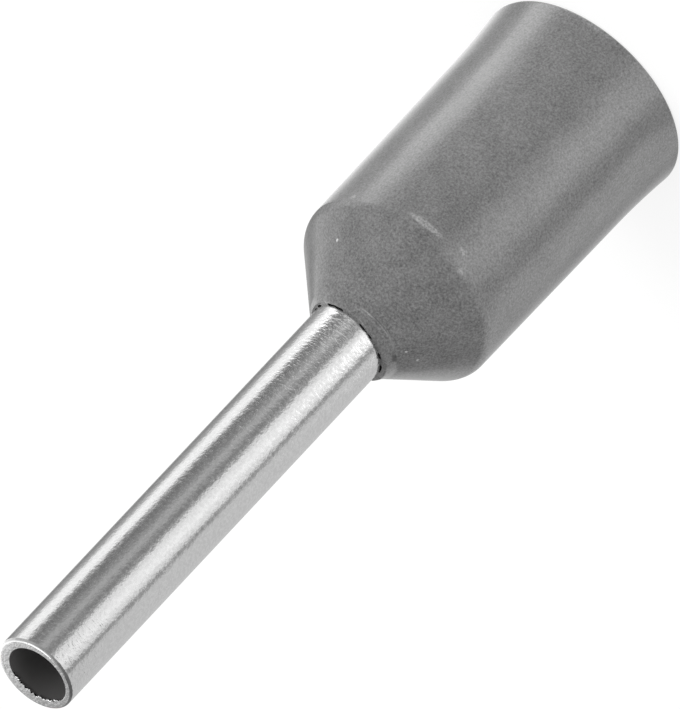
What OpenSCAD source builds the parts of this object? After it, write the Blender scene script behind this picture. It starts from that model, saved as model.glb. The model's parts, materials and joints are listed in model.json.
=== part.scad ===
// Insulated wire ferrule. A drawn copper tube, tinned all over, takes the bare strands of a
// wire. Its rear end is flared and sits in a moulded collar, whose bore takes the wire's
// insulation and whose funnel leads every strand into the tube. Millimetres throughout.
// The origin is the middle of the collar's mouth, on which the ferrule stands, and +Z runs
// along the tube to its free end.

/* [Tube] */
// Inner diameter of the tube, which the strands fill
tube_bore_d = 1.03; // [0.8:0.01:1.3]
// Thickness of the drawn tube's wall
tube_wall = 0.15; // [0.1:0.01:0.25]
// Length of tube that stands out of the collar
tube_out_l = 8; // [6:0.5:18]
// Radius that shearing leaves on the outer edge of the free end
tip_edge_r = 0.035; // [0.01:0.005:0.06]
// Chamfer on the inner edge of the free end
tip_chamfer = 0.015; // [0.005:0.005:0.04]

/* [Tube flare] */
// How far the flared rear end stands out from the outside of the tube
flare_reach = 0.3; // [0.15:0.01:0.4]
// Radius of the bend between the tube and its flare, on the outside
flare_bend_r = 0.15; // [0.05:0.01:0.25]

/* [Collar] */
// Length of the collar, from its mouth to its nose
collar_l = 6; // [5:0.1:9]
// Inner diameter of the collar, which takes the wire's insulation
wire_bore_d = 2.86; // [2.5:0.02:3.4]
// Thickness of the collar's wall behind the shoulder
collar_wall = 0.27; // [0.2:0.01:0.4]
// Draft of the body's outside, which widens it towards the mouth
draft_angle = 0.5; // [0.2:0.1:1.5]

/* [Collar mouth] */
// How far the lip stands out beyond the drafted body
lip_reach = 0.055; // [0.02:0.005:0.15]
// How far the outside leans out where it meets the lip
lip_lean = 5.5; // [4:0.5:15]
// Radius round the outer edge of the lip
lip_r = 0.05; // [0.03:0.01:0.1]
// How far the bell of the mouth widens the bore
bell_reach = 0.18; // [0.1:0.01:0.24]
// Depth of the bell
bell_l = 0.7; // [0.3:0.05:1.2]

/* [Collar nose] */
// Slope of the nose, and of the flare and the funnel behind it, measured from the axis
nose_angle = 40; // [30:1:50]
// Thickness of the nose's wall, from its outside to the flare that sits in it
nose_wall = 0.26; // [0.2:0.01:0.35]
// Radius where the nose turns into the body
shoulder_r = 0.32; // [0.1:0.02:0.5]
// Width of the flat ring that ends the nose round the tube
nose_ring_w = 0.055; // [0.04:0.005:0.15]
// Gap of the relief between that ring and the tube
relief_gap = 0.02; // [0.01:0.005:0.05]
// Depth of the relief
relief_depth = 0.06; // [0.03:0.01:0.08]
// Clearance round the rim of the flare, in the pocket that holds it
pocket_gap = 0.02; // [0.01:0.005:0.05]

/* [Hidden] */
$fn = 256;
// How far a cut runs past the face that it opens
past = 0.5;
// Share by which a round is drawn large, so that it crosses the faces that it blends
round_lap = 0.0002;

// Tube
tube_bore_r = tube_bore_d / 2;
tube_r = tube_bore_r + tube_wall;
tip_z = collar_l + tube_out_l;

// Collar body and nose
wire_bore_r = wire_bore_d / 2;
body_r = wire_bore_r + collar_wall;
nose_r = tube_r + relief_gap + nose_ring_w;
shoulder_corner = [body_r, collar_l - (body_r - nose_r) / tan(nose_angle)];
shoulder_centre = shoulder_corner - reach(shoulder_r, nose_angle, draft_angle);

// Tube flare, seated in the nose: its bend, then the corners of its rim
grip_z = seat_z(tube_r) + flare_bend_r * tan(nose_angle / 2);
bend_centre = [tube_r + flare_bend_r, grip_z];
bend_end = bend_centre - flare_bend_r * unit(nose_angle);
flare_r = tube_r + flare_reach;
rim_outer = [flare_r, seat_z(flare_r)];
rim_inner = rim_outer - tube_wall * unit(nose_angle);

// Collar mouth: the outside runs down the body, curves out on one arc and turns round the lip
mouth_r = body_r + shoulder_corner[1] * tan(draft_angle) + lip_reach;
lip_centre = [mouth_r - lip_r, lip_r];
lip_corner = lip_centre + reach(lip_r, lip_lean, -90);
lip_start = lip_centre + lip_r * unit(lip_lean);
sweep_r = (lip_start[0] - body_r - (shoulder_corner[1] - lip_start[1]) * tan(draft_angle))
    / (cos(draft_angle) - cos(lip_lean) - tan(draft_angle) * (sin(lip_lean) - sin(draft_angle)));
sweep_centre = lip_start + sweep_r * unit(lip_lean);
sweep_start = sweep_centre - sweep_r * unit(draft_angle);
bell_arc_r = (pow(bell_l, 2) + pow(bell_reach, 2)) / (2 * bell_reach);

// Collar inside: the pocket of the flare's rim, and the funnel from the wire bore to it
pocket_r = flare_r + pocket_gap;
funnel_start_z = rim_inner[1] - (wire_bore_r - pocket_r) / tan(nose_angle);

// All profiles lie in the [radius, height] plane and are turned round the axis

// A unit vector, a degrees above the radius
function unit(a) = [cos(a), sin(a)];

// Height at which the seat of the flare, one nose wall inside the nose, has radius r
function seat_z(r) = collar_l - (r + nose_wall / cos(nose_angle) - nose_r) / tan(nose_angle);

// From the centre of a round to the corner that it takes off, whose sides face a0 and a1
function reach(r, a0, a1) = r / cos((a1 - a0) / 2) * unit((a0 + a1) / 2);

// The disc of a round
module disc(centre, r) {
    translate(centre) circle(r * (1 + round_lap));
}

// What such a round takes off
module corner_waste(centre, r, a0, a1) {
    far = r + past;
    difference() {
        polygon([centre, centre + far * unit(a0), centre + reach(far, a0, a1), centre + far * unit(a1)]);
        disc(centre, r);
    }
}

// The tinned copper tube: straight from its sheared tip to the grip, then flared
module contact_tube() {
    bore_bend_r = flare_bend_r + tube_wall;
    bore_corner = bend_centre + reach(bore_bend_r, 180, 180 + nose_angle);
    color("silver") rotate_extrude() difference() {
        polygon([
            [tube_bore_r, tip_z - tip_chamfer], [tube_bore_r + tip_chamfer, tip_z],
            [tube_r, tip_z], [tube_r, grip_z], bend_end, rim_outer, rim_inner, bore_corner
        ]);
        corner_waste([tube_r - tip_edge_r, tip_z - tip_edge_r], tip_edge_r, 0, 90);
        disc(bend_centre, flare_bend_r);
        corner_waste(bend_centre, bore_bend_r, 180, 180 + nose_angle);
    }
}

// Half the section of the collar's outside, with the sweep of the mouth and its rounds
module collar_outline() {
    difference() {
        polygon([
            [0, 0], lip_corner, lip_start, sweep_start, shoulder_corner,
            [nose_r, collar_l], [0, collar_l]
        ]);
        disc(sweep_centre, sweep_r);
        corner_waste(lip_centre, lip_r, lip_lean, -90);
        corner_waste(shoulder_centre, shoulder_r, nose_angle, draft_angle);
    }
}

// Half the section of the way through the collar, run past both ends
module collar_way() {
    difference() {
        polygon([
            [0, -past], [wire_bore_r + bell_reach, -past], [wire_bore_r + bell_reach, 0],
            [wire_bore_r, bell_l], [wire_bore_r, funnel_start_z], [pocket_r, rim_inner[1]],
            [pocket_r, seat_z(pocket_r)], bend_end, [tube_r, grip_z], [tube_r, collar_l - relief_depth],
            [tube_r + relief_gap, collar_l - relief_depth], [tube_r + relief_gap, collar_l + past],
            [0, collar_l + past]
        ]);
        disc([wire_bore_r + bell_arc_r, bell_l], bell_arc_r);
        disc(bend_centre, flare_bend_r);
    }
}

// The moulded collar: mouth, wire bore, funnel, flare pocket, neck and relief in one piece
module insulating_collar() {
    color("gray") rotate_extrude() difference() {
        collar_outline();
        collar_way();
    }
}

contact_tube();
insulating_collar();
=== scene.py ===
import json
import math

import bmesh
import bpy
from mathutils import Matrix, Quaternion, Vector


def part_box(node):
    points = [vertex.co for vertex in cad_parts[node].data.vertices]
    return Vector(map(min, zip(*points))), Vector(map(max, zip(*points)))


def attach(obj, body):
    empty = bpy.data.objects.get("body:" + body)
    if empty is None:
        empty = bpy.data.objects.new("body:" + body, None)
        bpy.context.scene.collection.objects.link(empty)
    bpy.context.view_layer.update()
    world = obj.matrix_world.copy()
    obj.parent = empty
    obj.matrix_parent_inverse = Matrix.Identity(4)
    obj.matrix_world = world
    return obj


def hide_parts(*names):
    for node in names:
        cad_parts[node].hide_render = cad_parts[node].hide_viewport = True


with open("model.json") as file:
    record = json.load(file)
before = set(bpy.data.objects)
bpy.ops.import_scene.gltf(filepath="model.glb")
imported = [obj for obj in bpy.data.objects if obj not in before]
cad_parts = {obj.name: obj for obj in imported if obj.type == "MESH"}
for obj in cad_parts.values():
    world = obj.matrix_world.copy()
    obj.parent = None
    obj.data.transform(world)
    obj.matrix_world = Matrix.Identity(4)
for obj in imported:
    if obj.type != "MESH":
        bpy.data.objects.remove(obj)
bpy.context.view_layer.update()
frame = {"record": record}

MM = 0.001

# ---------------------------------------------------------------------------------------------
# Contact tube: a seamless copper tube, drawn to size and tinned all over. Its free end is sheared,
# which rolls the outer edge over and drags a ragged burr into the bore; its rear end is flared
# and seated inside the collar's nose.
# ---------------------------------------------------------------------------------------------
sizes_mm = {m["name"]: m["dims"] for m in frame["record"]["mounts"]}
bore_r = sizes_mm["conductor_bore"]["r_mm"]
tube_r = sizes_mm["terminal_pin"]["r_mm"]
tube_wall = tube_r - bore_r
tip_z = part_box("contact_tube")[1].z / MM
rim_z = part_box("contact_tube")[0].z / MM
flare_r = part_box("contact_tube")[1].x / MM
nose_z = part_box("insulating_collar")[1].z / MM
nose_angle = math.radians(40)
bend_r = 0.15
roll_over_r = 0.045
bore_edge_r = 0.006


def unit(angle):
    """A direction in the [radius, height] plane, as an angle above the radius."""
    return Vector((math.cos(angle), math.sin(angle)))


def arc(centre, radius, start, end, steps):
    """Points round part of a circle in the [radius, height] plane."""
    turn = (end - start) / steps
    return [Vector(centre) + radius * unit(start + turn * i) for i in range(steps + 1)]


def line(start, end, step):
    """Points between two ends, which are left out, no further apart than the step."""
    start, end = Vector(start), Vector(end)
    count = max(2, math.ceil((end - start).length / step))
    even = [start.lerp(end, i / count) for i in range(1, count)]
    guard = min(0.01, step / 4) / (end - start).length
    return [start.lerp(end, guard), *even, start.lerp(end, 1 - guard)]


def add(tree, kind, inputs=None, **settings):
    """A node of that kind, with its settings, and each named input set or linked."""
    node = tree.nodes.new(kind)
    for name, value in settings.items():
        setattr(node, name, value)
    for name, value in (inputs or {}).items():
        if isinstance(value, bpy.types.NodeSocket):
            tree.links.new(value, node.inputs[name])
        else:
            node.inputs[name].default_value = value
    return node


def maths(tree, operation, *values, clamp=False):
    """The result of a Math node."""
    node = add(tree, "ShaderNodeMath", dict(enumerate(values)), operation=operation, use_clamp=clamp)
    return node.outputs[0]


def vector_of(tree, operation, *values):
    """The vector that a Vector Math node gives."""
    node = add(tree, "ShaderNodeVectorMath", dict(enumerate(values)), operation=operation)
    return node.outputs[0]


def scaled(tree, vector, factor):
    """A vector times a number."""
    return add(tree, "ShaderNodeVectorMath", {0: vector, "Scale": factor}, operation="SCALE").outputs[0]


def dot(tree, vector, direction):
    """How far a vector reaches in a direction."""
    node = add(tree, "ShaderNodeVectorMath", {0: vector, 1: direction}, operation="DOT_PRODUCT")
    return node.outputs["Value"]


def polar(tree, place):
    """A point's distance from the axis, and the level direction that leads out to it."""
    level = vector_of(tree, "MULTIPLY", place, (1, 1, 0))
    radius = add(tree, "ShaderNodeVectorMath", {0: level}, operation="LENGTH").outputs["Value"]
    return radius, vector_of(tree, "NORMALIZE", level)


def noise(tree, place, grains, detail=2.0, roughness=0.5):
    """Noise from 0 to 1, with so many grains to the metre along each axis."""
    stretched = vector_of(tree, "MULTIPLY", place, grains)
    values = {"Vector": stretched, "Scale": 1.0, "Detail": detail, "Roughness": roughness}
    return add(tree, "ShaderNodeTexNoise", values).outputs[0]


def move(tree, geometry, offset):
    """The geometry with each point moved by the offset."""
    return add(tree, "GeometryNodeSetPosition", {"Geometry": geometry, "Offset": offset}).outputs[0]


def between(tree, value, low, high, out_low=0.0, out_high=1.0):
    """A smooth ramp from out_low to out_high as the value goes from low to high."""
    node = add(
        tree, "ShaderNodeMapRange",
        {"Value": value, "From Min": low, "From Max": high, "To Min": out_low, "To Max": out_high},
        interpolation_type="SMOOTHSTEP",
    )
    return node.outputs["Result"]


def new_inputs(tree, *sockets):
    """Gives a node group its named inputs, each a name, a kind and a default."""
    for name, kind, default in sockets:
        socket = tree.interface.new_socket(name, in_out="INPUT", socket_type="NodeSocket" + kind)
        if default is not None:
            socket.default_value = default
    return tree.nodes.new("NodeGroupInput").outputs


def turn_profile(tree, profile, steps):
    """Turns a closed profile in the XZ plane round the Z axis."""
    count = add(tree, "GeometryNodeAttributeDomainSize", {"Geometry": profile}).outputs["Point Count"]
    grid = add(tree, "GeometryNodeMeshGrid", {
        "Vertices X": maths(tree, "ADD", steps, 1.0),
        "Vertices Y": maths(tree, "ADD", count, 1.0),
        "Size X": steps,
        "Size Y": count,
    })
    place = add(tree, "GeometryNodeInputPosition").outputs[0]
    cell = add(tree, "ShaderNodeSeparateXYZ", {0: place}).outputs
    column = maths(tree, "ADD", cell[0], maths(tree, "MULTIPLY", steps, 0.5))
    row = maths(tree, "ROUND", maths(tree, "ADD", cell[1], maths(tree, "MULTIPLY", count, 0.5)))
    angle = maths(tree, "DIVIDE", maths(tree, "MULTIPLY", column, math.tau), steps)
    sample = add(tree, "GeometryNodeSampleIndex", data_type="FLOAT_VECTOR", domain="POINT")
    tree.links.new(profile, sample.inputs["Geometry"])
    tree.links.new(place, sample.inputs["Value"])
    tree.links.new(maths(tree, "MODULO", row, count), sample.inputs["Index"])
    point = add(tree, "ShaderNodeSeparateXYZ", {0: sample.outputs["Value"]}).outputs
    turned = add(tree, "ShaderNodeCombineXYZ", {
        "X": maths(tree, "MULTIPLY", point[0], maths(tree, "COSINE", angle)),
        "Y": maths(tree, "MULTIPLY", point[0], maths(tree, "SINE", angle)),
        "Z": point[2],
    })
    values = {"Geometry": grid.outputs["Mesh"], "Position": turned.outputs[0]}
    placed = add(tree, "GeometryNodeSetPosition", values).outputs[0]
    closed = add(tree, "GeometryNodeMergeByDistance", {"Geometry": placed, "Distance": 1e-8})
    return closed.outputs[0]


def finish_piece(name, profile, tree, values):
    """Runs a tree on a closed profile and leaves one plain mesh, riding on the one body."""
    mesh = bpy.data.meshes.new(name)
    points = [Vector((p.x, 0, p.y)) * MM for p in profile]
    mesh.from_pydata(points, [(i, (i + 1) % len(points)) for i in range(len(points))], [])
    blank = bpy.data.objects.new(name + "_profile", mesh)
    bpy.context.scene.collection.objects.link(blank)
    modifier = blank.modifiers.new("turning", "NODES")
    modifier.node_group = tree
    for item in tree.interface.items_tree:
        if item.in_out == "INPUT" and item.name in values:
            modifier[item.identifier] = values[item.name]
    evaluated = blank.evaluated_get(bpy.context.evaluated_depsgraph_get())
    turned = bpy.data.meshes.new_from_object(evaluated)
    bpy.data.objects.remove(blank)
    form = bmesh.new()
    form.from_mesh(turned)
    bmesh.ops.recalc_face_normals(form, faces=form.faces)
    form.to_mesh(turned)
    form.free()
    turned.name = name
    piece = bpy.data.objects.new(name, turned)
    bpy.context.scene.collection.objects.link(piece)
    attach(piece, "root")
    return piece


# Tube profile, from the inner edge of the cut over the outside to the flare and back up the bore
seat_corner_z = rim_z + tube_wall * math.sin(nose_angle) + (flare_r - tube_r) / math.tan(nose_angle)
grip_z = seat_corner_z + bend_r * math.tan(nose_angle / 2)
bend_centre = Vector((tube_r + bend_r, grip_z))
bend_out = arc(bend_centre, bend_r, math.pi, math.pi + nose_angle, 6)
bend_in = arc(bend_centre, bend_r + tube_wall, math.pi + nose_angle, math.pi, 6)
rim_out = Vector((flare_r, rim_z + tube_wall * math.sin(nose_angle)))
rim_in = rim_out - tube_wall * unit(nose_angle)
tip_out = arc((tube_r - roll_over_r, tip_z - roll_over_r), roll_over_r, math.pi / 2, 0, 9)
tip_in = arc((bore_r + bore_edge_r, tip_z - bore_edge_r), bore_edge_r, math.pi, math.pi / 2, 5)
tube_profile = [
    *tip_in, *line(tip_in[-1], tip_out[0], 0.01),
    *tip_out, *line(tip_out[-1], (tube_r, tip_z - 0.3), 0.02), (tube_r, tip_z - 0.3),
    *line((tube_r, tip_z - 0.3), bend_out[0], 0.1), *bend_out,
    *line(bend_out[-1], rim_out, 0.08), rim_out, *line(rim_out, rim_in, 0.05), rim_in,
    *line(rim_in, bend_in[0], 0.08), *bend_in,
    *line(bend_in[-1], (bore_r, tip_z - 1.2), 0.3), (bore_r, tip_z - 1.2),
    *line((bore_r, tip_z - 1.2), tip_in[0], 0.03),
]
tube_profile = [Vector(p) for p in tube_profile]


def tin_material():
    """Bright tin plate over drawn copper, with fine marks round the tube and small pits."""
    material = bpy.data.materials.new("tin_plate")
    material.use_nodes = True
    tree = material.node_tree
    shader = tree.nodes["Principled BSDF"]
    shader.inputs["Metallic"].default_value = 1.0
    place = add(tree, "ShaderNodeTexCoord").outputs["Object"]
    marks = noise(tree, place, (5000, 5000, 40000), roughness=0.6)
    pits = noise(tree, place, (18000, 18000, 20000), roughness=0.6)
    waves = noise(tree, place, (6000, 6000, 7000))
    fine = maths(tree, "MULTIPLY_ADD", marks, 0.35, maths(tree, "MULTIPLY", pits, 1.6))
    height = maths(tree, "MULTIPLY_ADD", waves, 1.4, fine)
    bump = add(tree, "ShaderNodeBump", {"Height": height, "Distance": 2.2e-6, "Strength": 1.0})
    tree.links.new(bump.outputs[0], shader.inputs["Normal"])
    speckle = between(tree, maths(tree, "MULTIPLY", fine, 0.51), 0.38, 0.62)
    ramp = add(tree, "ShaderNodeValToRGB", {"Fac": speckle})
    ramp.color_ramp.elements[0].color = (0.75, 0.75, 0.75, 1)
    ramp.color_ramp.elements[1].color = (0.845, 0.845, 0.845, 1)
    tree.links.new(ramp.outputs[0], shader.inputs["Base Color"])
    tree.links.new(between(tree, pits, 0.3, 0.7, 0.1, 0.18), shader.inputs["Roughness"])
    return material


def bore_painted_shade_material():
    """The dull inside of the bore, coloured much darker than the tin outside, which paints the shade that
    falls inside the bore as well as its dullness.
    """
    material = bpy.data.materials.new("dull_bore_painted_shade")
    material.use_nodes = True
    shader = material.node_tree.nodes["Principled BSDF"]
    shader.inputs["Base Color"].default_value = (0.24, 0.235, 0.235, 1)
    shader.inputs["Metallic"].default_value = 0.6
    shader.inputs["Roughness"].default_value = 0.5
    return material


def tube_tree():
    """Turns the tube's profile, then shears its tip."""
    tree = bpy.data.node_groups.new("drawn tube", "GeometryNodeTree")
    tree.is_modifier = True
    given = new_inputs(
        tree, ("Profile", "Geometry", None), ("Steps Round", "Int", 64),
        ("Tip Height", "Float", 0.0), ("Bore Radius", "Float", 0.0), ("Tube Length", "Float", 0.0),
        ("Burr", "Float", 0.0), ("Out of Square", "Float", 0.0), ("Lean", "Float", 0.0),
        ("Bore Shift", "Vector", (0, 0, 0)), ("Plate", "Material", None), ("Bore", "Material", None),
    )
    tree.interface.new_socket("Geometry", in_out="OUTPUT", socket_type="NodeSocketGeometry")
    body = turn_profile(tree, given["Profile"], given["Steps Round"])
    place = add(tree, "GeometryNodeInputPosition").outputs[0]
    at = add(tree, "ShaderNodeSeparateXYZ", {0: place}).outputs
    radius, outward = polar(tree, place)
    below_tip = maths(tree, "SUBTRACT", given["Tip Height"], at[2])
    from_bore = maths(tree, "SUBTRACT", radius, given["Bore Radius"])

    # burr: the bore's edge is dragged inwards, in teeth, along one side of the cut
    at_edge = maths(
        tree, "MULTIPLY", between(tree, from_bore, 0.0, 0.04 * MM, 1, 0),
        between(tree, below_tip, 0.0, 0.06 * MM, 1, 0),
    )
    side = between(tree, dot(tree, outward, (-0.4, 0.92, 0)), 0.45, 0.8)
    tooth = between(tree, noise(tree, place, (22000, 22000, 3000)), 0.35, 0.7)
    drag = maths(
        tree, "MULTIPLY", maths(tree, "MULTIPLY", at_edge, side),
        maths(tree, "MULTIPLY", tooth, given["Burr"]),
    )
    body = move(tree, body, scaled(tree, outward, maths(tree, "MULTIPLY", drag, -1.0)))

    # the shear also pushes the bore's end off centre
    inner_end = maths(
        tree, "MULTIPLY", between(tree, from_bore, 0.06 * MM, 0.13 * MM, 1, 0),
        between(tree, below_tip, 0.0, 0.6 * MM, 1, 0),
    )
    body = move(tree, body, scaled(tree, given["Bore Shift"], inner_end))

    # the cut itself is a little out of square
    near_tip = between(tree, below_tip, 0.0, 0.5 * MM, 1, 0)
    lean = maths(tree, "MULTIPLY", maths(tree, "SUBTRACT", at[1], 0.65 * MM), given["Out of Square"])
    drop = add(tree, "ShaderNodeCombineXYZ", {"Z": maths(tree, "MULTIPLY", lean, near_tip)}).outputs[0]
    body = move(tree, body, drop)

    # the tube sits a hair off centre in the nose and leans back to its middle at the tip
    run = maths(tree, "MINIMUM", below_tip, given["Tube Length"])
    aside = add(tree, "ShaderNodeCombineXYZ", {"X": maths(tree, "MULTIPLY", run, given["Lean"])}).outputs[0]
    body = move(tree, body, aside)

    body = add(tree, "GeometryNodeSetShadeSmooth", {"Geometry": body, "Shade Smooth": True}).outputs[0]
    body = add(tree, "GeometryNodeRealizeInstances", {"Geometry": body}).outputs[0]
    body = add(tree, "GeometryNodeSetMaterial", {"Geometry": body, "Material": given["Plate"]}).outputs[0]
    # the inside of the bore takes the darker bore material, which paints the shade that falls in it as well
    # as its dullness
    inside = maths(
        tree, "MULTIPLY", maths(tree, "LESS_THAN", radius, 0.59 * MM),
        maths(tree, "GREATER_THAN", below_tip, 0.03 * MM),
    )
    values = {"Geometry": body, "Selection": inside, "Material": given["Bore"]}
    add(tree, "NodeGroupOutput", {0: add(tree, "GeometryNodeSetMaterial", values).outputs[0]})
    return tree


contact_tube = finish_piece("tinned_contact_tube", tube_profile, tube_tree(), {
    "Steps Round": 360,
    "Tip Height": tip_z * MM,
    "Bore Radius": bore_r * MM,
    "Tube Length": (tip_z - nose_z) * MM,
    "Burr": 0.065 * MM,
    "Out of Square": 0.02,
    "Lean": 0.0024,
    "Bore Shift": (-0.04 * MM, -0.035 * MM, 0),
    "Plate": tin_material(),
    "Bore": bore_painted_shade_material(),
})
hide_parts("contact_tube")


# ---------------------------------------------------------------------------------------------
# Insulating collar: one grey plastic moulding. Its mouth is belled and its lip rounded, so that
# the insulated wire enters easily; its nose closes on the tube in a narrow ring with a fine
# relief. The mould's fine spark-eroded grain covers the outside.
# ---------------------------------------------------------------------------------------------
wire_bore_r = sizes_mm["wire_entry"]["r_mm"]
mouth_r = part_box("insulating_collar")[1].x / MM
body_r = 1.7
draft = math.radians(0.5)
shoulder_r = 0.32
lip_r = 0.05
lip_lean = math.radians(5.5)
bell_reach = 0.18
bell_l = 0.7
nose_r = 0.74
relief_r = 0.685
relief_depth = 0.06
pocket_r = 0.985

shoulder_z = nose_z - (body_r - nose_r) / math.tan(nose_angle)
half_turn = (nose_angle - draft) / 2
shoulder_centre = Vector((body_r, shoulder_z)) - shoulder_r / math.cos(half_turn) * unit(draft + half_turn)
lip_centre = Vector((mouth_r - lip_r, lip_r))
lip_start = lip_centre + lip_r * unit(lip_lean)
drafted_r = body_r + (shoulder_z - lip_start.y) * math.tan(draft)
sweep_r = (lip_start.x - drafted_r) / (
    math.cos(draft) - math.cos(lip_lean) - math.tan(draft) * (math.sin(lip_lean) - math.sin(draft))
)
sweep_centre = lip_start + sweep_r * unit(lip_lean)
bell_arc_r = (bell_l ** 2 + bell_reach ** 2) / (2 * bell_reach)
bell_centre = Vector((wire_bore_r + bell_arc_r, bell_l))
funnel_z = rim_z - (wire_bore_r - pocket_r) / math.tan(nose_angle)

shoulder = arc(shoulder_centre, shoulder_r, nose_angle, draft, 10)
sweep = arc(sweep_centre, sweep_r, math.pi + draft, math.pi + lip_lean, 24)
lip = arc(lip_centre, lip_r, lip_lean, -math.pi / 2, 10)
bell = arc(bell_centre, bell_arc_r, math.pi + math.asin(bell_l / bell_arc_r), math.pi, 12)
ring_out = Vector((nose_r, nose_z))
relief = [
    Vector((relief_r, nose_z)), Vector((relief_r, nose_z - relief_depth)),
    Vector((tube_r, nose_z - relief_depth)),
]
seat_z = rim_out.y - (pocket_r - flare_r) / math.tan(nose_angle)
fine_end = ring_out + 0.5 * Vector((math.tan(nose_angle), -1))
collar_profile = [
    ring_out, *line(ring_out, fine_end, 0.015), fine_end,
    *line(fine_end, shoulder[0], 0.06), *shoulder,
    *line(shoulder[-1], sweep[0], 0.06), *sweep, *lip, *line(lip[-1], bell[0], 0.04),
    *bell, *line(bell[-1], (wire_bore_r, funnel_z), 0.3), (wire_bore_r, funnel_z),
    *line((wire_bore_r, funnel_z), (pocket_r, rim_z), 0.1), (pocket_r, rim_z), (pocket_r, seat_z),
    *line((pocket_r, seat_z), bend_out[-1], 0.1), *bend_out[::-1],
    *line(bend_out[0], relief[2], 0.1), relief[2],
    relief[1], *line(relief[1], relief[0], 0.02), relief[0], *line(relief[0], ring_out, 0.02),
]
collar_profile = [Vector(p) for p in collar_profile]


# Marks on the outside of the collar, each a patch of lighter or darker tone: dust specks, a small ring, a
# lighter line just above the mouth's edge and a darker spot, and besides these painted highlights on the
# shoulder and on the ridge by the ring, and a painted shade line in the fine step round the ring.
# Each gives the azimuth in degrees from the front towards -X, height, half width and half height in mm, all
# on the outside, and by what share they change the plastic's tone
marks_and_painted_light = [
    # painted highlights: a thin arc on the shoulder and two patches where the body meets it
    (-12, 4.62, 0.36, 0.07, 0.9), (11, 4.53, 0.1, 0.07, 0.5), (17, 4.78, 0.065, 0.06, 0.6),
    # a small ring mark, and a lighter line just above the mouth's edge
    (-58, 4.69, 0.055, 0.06, 0.8), (-18, 0.06, 0.35, 0.06, 0.4),
    # dust specks
    (-60.5, 5.28, 0.03, 0.022, 2.5), (53.5, 5.8, 0.022, 0.02, 1.8), (68, 5.67, 0.022, 0.02, 1.8),
    # a darker spot on the ring, a painted shade line in the step round the ring, and a painted highlight on
    # its ridge
    (57, 5.96, 0.09, 0.05, -0.6), (14, 5.92, 0.22, 0.02, -0.7), (-6, 5.945, 0.16, 0.018, 0.9),
]


def mark_group():
    """A node group: how far a point lies inside an oval mark on the outside, from 0 to 1."""
    tree = bpy.data.node_groups.new("oval mark", "ShaderNodeTree")
    given = new_inputs(
        tree, ("Place", "Vector", None), ("Along", "Vector", (1, 0, 0)), ("Facing", "Vector", (0, -1, 0)),
        ("Height", "Float", 0.0), ("Half Width", "Float", 1.0), ("Half Height", "Float", 1.0),
    )
    tree.interface.new_socket("Mask", in_out="OUTPUT", socket_type="NodeSocketFloat")
    height = add(tree, "ShaderNodeSeparateXYZ", {0: given["Place"]}).outputs[2]
    u = maths(tree, "DIVIDE", dot(tree, given["Place"], given["Along"]), given["Half Width"])
    v = maths(tree, "DIVIDE", maths(tree, "SUBTRACT", height, given["Height"]), given["Half Height"])
    squares = maths(tree, "ADD", maths(tree, "MULTIPLY", u, u), maths(tree, "MULTIPLY", v, v))
    oval = between(tree, maths(tree, "SQRT", squares), 0.45, 1.15, 1, 0)
    front = maths(tree, "GREATER_THAN", dot(tree, given["Place"], given["Facing"]), 0.0)
    add(tree, "NodeGroupOutput", {0: maths(tree, "MULTIPLY", oval, front)})
    return tree


def plastic_material():
    """Neutral grey plastic with the mould's fine grain, a cloudy mottle, specks and spots, and painted
    highlights and a painted shade line from the marks list.
    """
    material = bpy.data.materials.new("grey_plastic_grain")
    material.use_nodes = True
    tree = material.node_tree
    shader = tree.nodes["Principled BSDF"]
    place = add(tree, "ShaderNodeTexCoord").outputs["Object"]
    fine = noise(tree, place, (30000, 30000, 30000), roughness=0.7)
    cloud = noise(tree, place, (2600, 2600, 1800), detail=3.0)
    tone = maths(tree, "MULTIPLY_ADD", cloud, 0.2, maths(tree, "MULTIPLY", fine, 0.8))
    ramp = add(tree, "ShaderNodeValToRGB", {"Fac": tone})
    ramp.color_ramp.elements[0].position = 0.3
    ramp.color_ramp.elements[0].color = (0.065, 0.065, 0.065, 1)
    ramp.color_ramp.elements[1].position = 0.7
    ramp.color_ramp.elements[1].color = (0.255, 0.255, 0.255, 1)
    oval_mark = mark_group()
    tone_with_painted_light = 1.0
    # each mark lightens or darkens the tone: besides specks and spots, this paints highlights on the shoulder
    # and the ring's ridge and a shade line in the step round the ring
    for azimuth, z, half_w, half_h, share in marks_and_painted_light:
        a = math.radians(azimuth)
        mask = add(tree, "ShaderNodeGroup", {
            "Place": place,
            "Along": (-math.cos(a), math.sin(a), 0),
            "Facing": (-math.sin(a), -math.cos(a), 0),
            "Height": z * MM,
            "Half Width": half_w * MM,
            "Half Height": half_h * MM,
        }, node_tree=oval_mark).outputs["Mask"]
        tone_with_painted_light = maths(tree, "MULTIPLY_ADD", mask, share, tone_with_painted_light)
    tree.links.new(scaled(tree, ramp.outputs[0], tone_with_painted_light), shader.inputs["Base Color"])
    shader.inputs["Roughness"].default_value = 0.38
    shader.inputs["Specular IOR Level"].default_value = 0.8
    shader.inputs["Coat Weight"].default_value = 1.0
    shader.inputs["Coat Roughness"].default_value = 0.17
    height = maths(tree, "MULTIPLY_ADD", cloud, 1.5, fine)
    bump = add(tree, "ShaderNodeBump", {"Height": height, "Distance": 3e-6, "Strength": 1.0})
    tree.links.new(bump.outputs[0], shader.inputs["Normal"])
    return material


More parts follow.
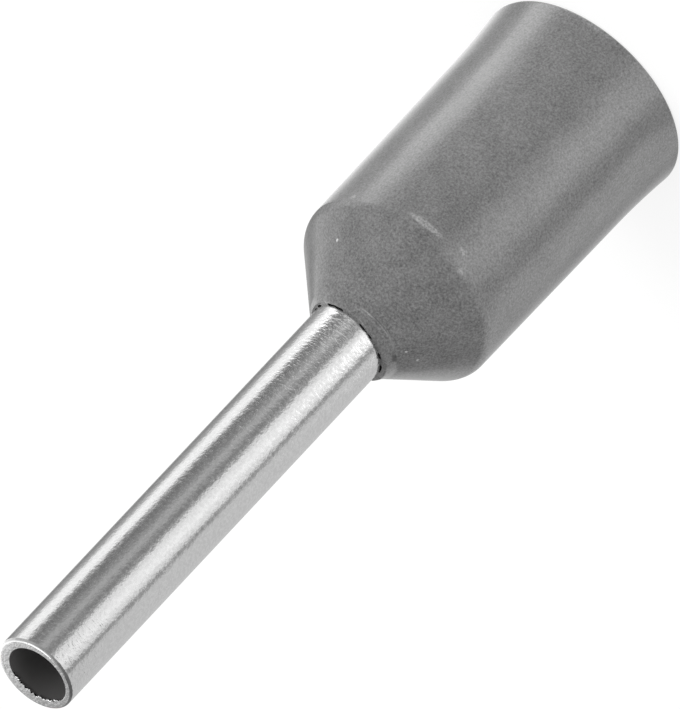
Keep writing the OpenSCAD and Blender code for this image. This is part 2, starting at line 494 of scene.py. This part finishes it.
def collar_tree():
    """Turns the collar's profile and gives it the moulding's slight unevenness."""
    tree = bpy.data.node_groups.new("moulded collar", "GeometryNodeTree")
    tree.is_modifier = True
    given = new_inputs(
        tree, ("Profile", "Geometry", None), ("Steps Round", "Int", 64),
        ("Nose Height", "Float", 0.0), ("Seat Shift", "Float", 0.0), ("Flash", "Float", 0.0),
        ("Unevenness", "Float", 0.0), ("Plastic", "Material", None),
    )
    tree.interface.new_socket("Geometry", in_out="OUTPUT", socket_type="NodeSocketGeometry")
    body = turn_profile(tree, given["Profile"], given["Steps Round"])
    place = add(tree, "GeometryNodeInputPosition").outputs[0]
    normal = add(tree, "GeometryNodeInputNormal").outputs[0]
    at = add(tree, "ShaderNodeSeparateXYZ", {0: place}).outputs
    radius, outward = polar(tree, place)
    below_nose = maths(tree, "SUBTRACT", given["Nose Height"], at[2])

    # flash creeps along the tube, unevenly, and all but closes the relief round it
    inner = between(tree, radius, 0.69 * MM, 0.73 * MM, 1, 0)
    at_ring = between(tree, below_nose, 0.07 * MM, 0.12 * MM, 1, 0)
    mouth = maths(tree, "MULTIPLY", inner, at_ring)
    ragged = noise(tree, outward, (3.4, 3.4, 3.4), detail=3.0)
    opening = between(tree, ragged, 0.48, 0.6)
    gap = maths(tree, "MULTIPLY", mouth, maths(tree, "MULTIPLY_ADD", opening, 0.034 * MM, -0.027 * MM))
    aside = maths(tree, "MULTIPLY", mouth, given["Seat Shift"])
    seat = add(tree, "ShaderNodeCombineXYZ", {"X": aside}).outputs[0]
    body = move(tree, body, vector_of(tree, "ADD", scaled(tree, outward, gap), seat))

    # the ring stands higher on one side, and its edge is ragged
    tilt = dot(tree, outward, (-0.7, -0.7, 0))
    rise = maths(tree, "MULTIPLY", maths(tree, "MULTIPLY_ADD", ragged, 0.6, tilt), given["Flash"])
    rise = maths(tree, "MULTIPLY", rise, between(tree, radius, 0.70 * MM, 0.84 * MM, 1, 0))
    rise = maths(tree, "MULTIPLY", rise, between(tree, below_nose, 0.05 * MM, 0.2 * MM, 1, 0))
    body = move(tree, body, add(tree, "ShaderNodeCombineXYZ", {"Z": rise}).outputs[0])

    # a fine step runs round the front of the ring, where the mould's core pin parts
    front = between(tree, dot(tree, outward, (-0.14, -0.99, 0)), 0.8, 0.93)
    step = maths(
        tree, "MULTIPLY", between(tree, radius, 0.78 * MM, 0.797 * MM, 0, 1),
        between(tree, radius, 0.803 * MM, 0.83 * MM, 1, 0),
    )
    step = maths(tree, "MULTIPLY", maths(tree, "MULTIPLY", step, front), -0.03 * MM)
    step = maths(tree, "MULTIPLY", step, between(tree, below_nose, 0.3 * MM, 0.4 * MM, 1, 0))
    body = move(tree, body, scaled(tree, normal, step))

    # the moulding's skin swells and sinks a little all over
    grains = vector_of(tree, "MULTIPLY", place, (1300, 1300, 1040))
    values = {"Vector": grains, "W": 3.0, "Scale": 1.0, "Detail": 2.0}
    swell = add(tree, "ShaderNodeTexNoise", values, noise_dimensions="4D").outputs[0]
    swell = maths(tree, "MULTIPLY", maths(tree, "SUBTRACT", swell, 0.5), given["Unevenness"])
    body = move(tree, body, scaled(tree, normal, swell))

    body = add(tree, "GeometryNodeSetShadeSmooth", {"Geometry": body, "Shade Smooth": True}).outputs[0]
    body = add(tree, "GeometryNodeRealizeInstances", {"Geometry": body}).outputs[0]
    body = add(tree, "GeometryNodeSetMaterial", {"Geometry": body, "Material": given["Plastic"]}).outputs[0]
    add(tree, "NodeGroupOutput", {0: body})
    return tree


collar = finish_piece("moulded_collar", collar_profile, collar_tree(), {
    "Steps Round": 400,
    "Nose Height": nose_z * MM,
    "Seat Shift": 0.019 * MM,
    "Flash": 0.09 * MM,
    "Unevenness": 0.004 * MM,
    "Plastic": plastic_material(),
})
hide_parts("insulating_collar")


# ---------------------------------------------------------------------------------------------
# Studio: a white floor, soft lamps, and a tent of pale cloth and grey cards that only the
# gloss of the metal and the plastic picks up.
# ---------------------------------------------------------------------------------------------
form = bmesh.new()
bmesh.ops.create_circle(form, cap_ends=True, radius=0.6, segments=96)
bmesh.ops.translate(form, verts=form.verts, vec=(0, 0, -0.000002))
mesh = bpy.data.meshes.new("floor")
form.to_mesh(mesh)
form.free()
floor = bpy.data.objects.new("floor", mesh)
bpy.context.scene.collection.objects.link(floor)
floor.visible_glossy = False
floor_material = bpy.data.materials.new("white_floor")
floor_material.use_nodes = True
tree = floor_material.node_tree
tree.nodes.remove(tree.nodes["Principled BSDF"])
rays = add(tree, "ShaderNodeLightPath").outputs
seen = maths(tree, "ADD", rays["Is Camera Ray"], rays["Is Glossy Ray"])
seen = maths(tree, "ADD", seen, rays["Is Transmission Ray"], clamp=True)
level = maths(tree, "MULTIPLY_ADD", seen, -0.6, 0.85)
paint = add(tree, "ShaderNodeCombineColor", {0: level, 1: level, 2: level}).outputs[0]
cloth = add(tree, "ShaderNodeBsdfDiffuse", {"Color": paint}).outputs[0]
shine = maths(tree, "MULTIPLY", seen, 0.78)
glow = add(tree, "ShaderNodeEmission", {"Color": (1, 1, 1, 1), "Strength": shine}).outputs[0]
whole = add(tree, "ShaderNodeAddShader", {0: cloth, 1: glow}).outputs[0]
tree.links.new(whole, tree.nodes["Material Output"].inputs["Surface"])
floor.data.materials.append(floor_material)


# Tent: for each tier, the azimuth in degrees from the camera's side towards -X, and how bright
# the cloth or card that hangs there is
tent_r = 0.02
tiers = {
    "low": [
        (-180, 0.9), (-160, 1.2), (-146, 0.9), (-136, 0.5), (-120, 0.4), (-108, 0.8), (-100, 2.5), (-86, 2.5),
        (-72, 1.05), (-62, 0.75), (-40, 0.85), (-15, 0.65), (2, 0.45), (12, 1.0), (30, 1.8), (44, 1.7),
        (57, 0.6), (67, 0.2), (74, 0.35), (84, 1.1), (104, 0.8), (130, 0.4), (158, 0.6), (180, 0.9),
    ],
    "middle": [
        (-180, 0.6), (-166, 0.5), (-152, 0.26), (-127, 0.4), (-107, 1.1), (-88, 1.1), (-75, 0.3),
        (-66, 0.2), (-52, 0.26), (-33, 0.45), (-12, 0.24), (-4, 0.36), (6, 0.9), (30, 1.05), (48, 0.82),
        (59, 0.3), (72, 0.64), (130, 0.62), (180, 0.6),
    ],
    "high": [
        (-180, 0.38), (-155, 1.4), (-130, 0.9), (-90, 0.5), (0, 0.3), (60, 0.15), (120, 0.12),
        (150, 0.2), (170, 0.36), (180, 0.38),
    ],
}


def tent_material():
    """The tent's cloth and cards, by tier and by the compass direction in which they hang."""
    material = bpy.data.materials.new("tent_cloth")
    material.use_nodes = True
    tree = material.node_tree
    tree.nodes.remove(tree.nodes["Principled BSDF"])
    place = add(tree, "ShaderNodeTexCoord").outputs["Object"]
    at = add(tree, "ShaderNodeSeparateXYZ", {0: place}).outputs
    left, nearer = maths(tree, "MULTIPLY", at[0], -1.0), maths(tree, "MULTIPLY", at[1], -1.0)
    turn = maths(tree, "ARCTAN2", left, nearer)
    turn = maths(tree, "MULTIPLY_ADD", at[2], 5.0, turn)
    share = maths(tree, "MULTIPLY_ADD", turn, 1 / math.tau, 0.5)
    glows = {}
    for tier, levels in tiers.items():
        ramp = add(tree, "ShaderNodeValToRGB", {"Fac": share})
        ramp.color_ramp.interpolation = "EASE"
        while len(ramp.color_ramp.elements) < len(levels):
            ramp.color_ramp.elements.new(0.5)
        for element, (azimuth, level) in zip(ramp.color_ramp.elements, levels):
            element.position = azimuth / 360 + 0.5
            element.color = (level, level, level, 1)
        glows[tier] = ramp.outputs[0]
    to_middle = between(tree, at[2], -0.0074, -0.0061)
    to_high = between(tree, at[2], 0.0036, 0.0056)
    values = {0: to_middle, 6: glows["low"], 7: glows["middle"]}
    lower = add(tree, "ShaderNodeMix", values, data_type="RGBA").outputs[2]
    values = {0: to_high, 6: lower, 7: glows["high"]}
    whole = add(tree, "ShaderNodeMix", values, data_type="RGBA").outputs[2]
    roof = maths(tree, "GREATER_THAN", at[2], 0.044)
    strength = maths(tree, "MULTIPLY_ADD", roof, 1.2, 1.0)
    glow = add(tree, "ShaderNodeEmission", {"Color": whole, "Strength": strength}).outputs[0]
    tree.links.new(glow, tree.nodes["Material Output"].inputs["Surface"])
    material.cycles.emission_sampling = "NONE"
    return material


form = bmesh.new()
bmesh.ops.create_cone(form, cap_ends=True, segments=64, radius1=tent_r, radius2=tent_r, depth=0.07)
bmesh.ops.translate(form, verts=form.verts, vec=(0, 0, 0.01))
mesh = bpy.data.meshes.new("tent")
form.to_mesh(mesh)
form.free()
tent = bpy.data.objects.new("tent", mesh)
tent.data.materials.append(tent_material())
tent.visible_camera = False
tent.visible_diffuse = False
tent.visible_shadow = False
tent.visible_transmission = False
bpy.context.scene.collection.objects.link(tent)

world = bpy.data.worlds.new("white_room")
bpy.context.scene.world = world
world.use_nodes = True
tree = world.node_tree
sky = tree.nodes["Background"]
is_camera = add(tree, "ShaderNodeLightPath").outputs["Is Camera Ray"]
strength = maths(tree, "MULTIPLY_ADD", is_camera, 0.25, 0.75)
sky.inputs["Color"].default_value = (1, 1, 1, 1)
tree.links.new(strength, sky.inputs["Strength"])
world.cycles_visibility.glossy = False


def soft_lamp(name, azimuth, elevation, distance, size, watts):
    """A square soft box that faces the middle of the ferrule."""
    lamp = bpy.data.lights.new(name, "AREA")
    lamp.size = size
    lamp.energy = watts
    a, e = math.radians(azimuth), math.radians(elevation)
    away = Vector((-math.sin(a) * math.cos(e), -math.cos(a) * math.cos(e), math.sin(e)))
    holder = bpy.data.objects.new(name, lamp)
    holder.location = Vector((0, 0, 0.007)) + away * distance
    holder.rotation_mode = "QUATERNION"
    holder.rotation_quaternion = (-away).to_track_quat("-Z", "Y")
    holder.visible_glossy = False
    bpy.context.scene.collection.objects.link(holder)
    return holder


soft_lamp("key_lamp", -70, 50, 0.3, 0.2, 0.4)
soft_lamp("fill_lamp", 70, 10, 0.3, 0.2, 0.15)

# ---------------------------------------------------------------------------------------------
# Camera: a long lens that looks down on the standing ferrule, rolled so that the tube points down
# and left. The view's height is what its long side takes in at the point aimed at.
# ---------------------------------------------------------------------------------------------
view_elevation = math.radians(31.25)
view_roll = math.radians(136.675)
view_height = 10.63 * MM
camera_data = bpy.data.cameras.new("camera")
camera_data.lens = 1400
camera_data.sensor_width = 36
distance = camera_data.lens / camera_data.sensor_width * view_height
camera = bpy.data.objects.new("camera", camera_data)
back = Vector((0, -math.cos(view_elevation), math.sin(view_elevation)))
aim = Vector((-0.0373, 0, 6.3045)) * MM
camera.rotation_mode = "QUATERNION"
camera.location = aim + back * distance
camera.rotation_quaternion = (-back).to_track_quat("-Z", "Y") @ Quaternion((0, 0, 1), -view_roll)
camera_data.clip_start = 0.01
camera_data.clip_end = 2
bpy.context.scene.collection.objects.link(camera)
bpy.context.scene.camera = camera
bpy.context.scene.view_settings.view_transform = "Standard"
